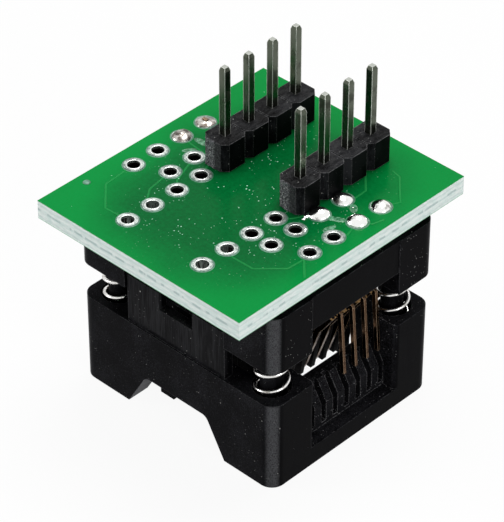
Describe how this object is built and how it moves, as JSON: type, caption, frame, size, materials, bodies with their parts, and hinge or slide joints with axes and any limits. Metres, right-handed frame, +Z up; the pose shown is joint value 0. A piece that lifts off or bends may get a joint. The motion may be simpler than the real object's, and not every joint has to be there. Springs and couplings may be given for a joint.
{
  "type": "ic programming adapter",
  "caption": "Chip programming adapter: board with plated holes and header pins, over an open-top spring socket whose cover slides on coil springs.",
  "frame": {"origin": "middle of the part's footprint, at the feet of the socket's cover", "axes": "+Z up along the header pins and the cover's travel, +Y along the pin rows towards the end with the headers, +X across the rows"},
  "size_m": [0.0206, 0.024, 0.0269],
  "materials": {
    "board": "satin green solder mask",
    "tin": "tinned copper and solder, satin",
    "pin_metal": "dull plated pin wire",
    "header_black": "moulded, satin",
    "socket_black": "moulded, satin",
    "gold": "thin gold plate, satin",
    "spring_steel": "bright drawn wire"
  },
  "bodies": {
    "adapter": {"circuit_board": "board", "hole_plating": "tin", "header_strip_left": "header_black", "header_strip_right": "header_black", "header_pin_left_1": "pin_metal", "header_pin_left_2": "pin_metal", "header_pin_left_3": "pin_metal", "header_pin_left_4": "pin_metal", "header_pin_right_1": "pin_metal", "header_pin_right_2": "pin_metal", "header_pin_right_3": "pin_metal", "header_pin_right_4": "pin_metal", "header_solder": "tin", "contact_solder": "tin", "socket_base": "socket_black", "contact_left_1": "gold", "contact_left_2": "gold", "contact_left_3": "gold", "contact_left_4": "gold", "contact_right_1": "gold", "contact_right_2": "gold", "contact_right_3": "gold", "contact_right_4": "gold"},
    "cover": {"cover": "socket_black", "spring_front_left": "spring_steel", "spring_front_right": "spring_steel", "spring_back_left": "spring_steel", "spring_back_right": "spring_steel"}
  },
  "joints": [
    {"name": "cover_press", "type": "slide", "parent": "adapter", "child": "cover", "axis": [0, 0, 1], "range_m": [0, 0.0026], "stiffness_N_per_m": 2000, "springref_m": -0.001, "deforming": ["spring_front_left", "spring_front_right", "spring_back_left", "spring_back_right"]}
  ]
}
